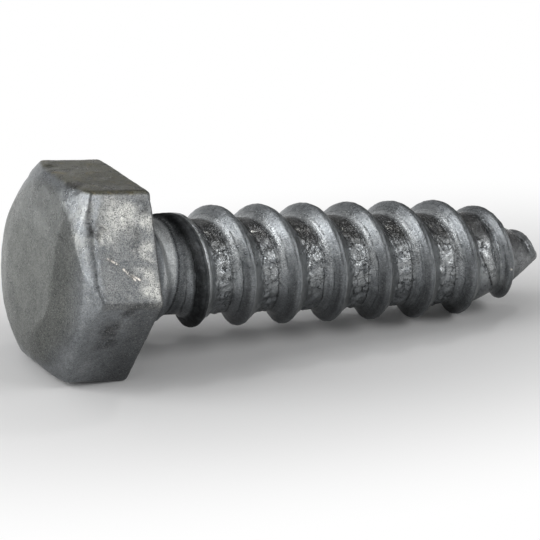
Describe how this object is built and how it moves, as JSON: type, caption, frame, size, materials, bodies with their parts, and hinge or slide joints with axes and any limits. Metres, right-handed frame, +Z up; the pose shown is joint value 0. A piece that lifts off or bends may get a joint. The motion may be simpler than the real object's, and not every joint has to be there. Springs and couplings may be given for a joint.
{
  "type": "hexagon lag screw",
  "caption": "Hexagon-head lag screw with a coarse wood thread and a gimlet point, hot-dip galvanised, lying on its side.",
  "frame": {"origin": "middle of the bearing face under the head", "axes": "+X along the screw towards the point, dipping below level by the tilt at which it rests, +Z up"},
  "size_m": [0.0582, 0.0218, 0.0196],
  "materials": {
    "galvanised_steel": "mottled grey hot-dip zinc over forged steel"
  },
  "bodies": {
    "root": {"lag_screw": "galvanised_steel"}
  },
  "joints": []
}
